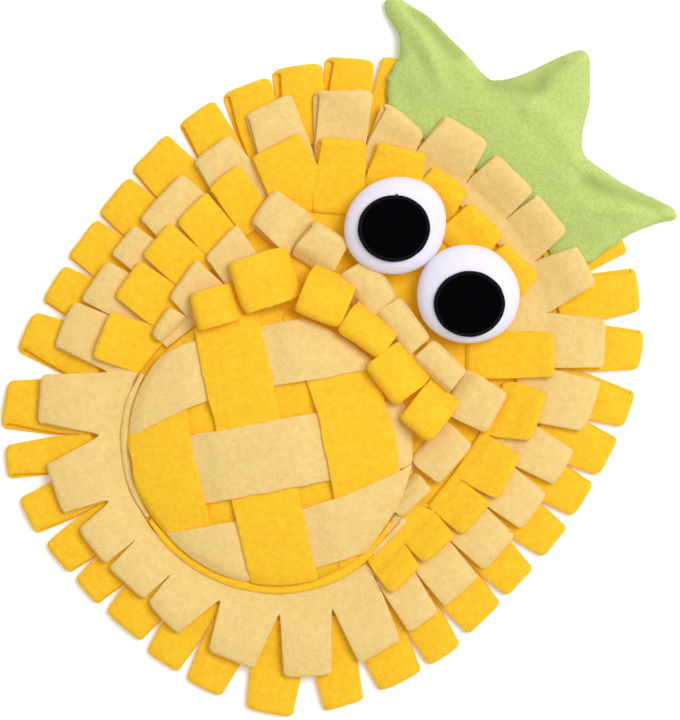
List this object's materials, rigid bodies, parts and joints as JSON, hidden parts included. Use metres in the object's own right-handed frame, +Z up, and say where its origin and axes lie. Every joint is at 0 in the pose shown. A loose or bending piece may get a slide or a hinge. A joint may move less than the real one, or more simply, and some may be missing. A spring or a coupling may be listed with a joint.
{
  "type": "snuffle mat",
  "caption": "Flat fleece feeding mat in a plain pineapple shape: rings of slit loops to hide treats in, a woven padded patch, two stuffed eyes and a soft leafy crown.",
  "frame": {"origin": "under the centre of the mat's outline, on the surface that it lies on", "axes": "+Y towards the crown, +X to the right of the face seen from above, +Z up from the surface"},
  "size_m": [0.3509, 0.4592, 0.0331],
  "materials": {
    "golden_fleece": "soft brushed fleece, golden yellow",
    "pale_fleece": "soft brushed fleece, pale straw yellow",
    "ground_fleece": "flat fleece ground, golden yellow",
    "green_fleece": "soft brushed fleece, leaf green",
    "white_plush": "short white plush",
    "black_velvet": "black felt with a satin stitched rim"
  },
  "bodies": {
    "root": {"base": "ground_fleece", "row_1": "golden_fleece", "row_2": "pale_fleece", "row_3": "golden_fleece", "row_4": "pale_fleece", "row_5": "golden_fleece", "row_5_end": "golden_fleece", "pocket": "ground_fleece", "golden_strip_1": "golden_fleece", "golden_strip_2": "golden_fleece", "golden_strip_3": "golden_fleece", "pale_strip_1": "pale_fleece", "pale_strip_2": "pale_fleece", "pale_strip_3": "pale_fleece", "binding_golden": "golden_fleece", "binding_pale": "pale_fleece", "crown": "green_fleece", "eye_left": "white_plush", "eye_right": "white_plush", "pupil_left": "black_velvet", "pupil_right": "black_velvet"}
  },
  "joints": []
}
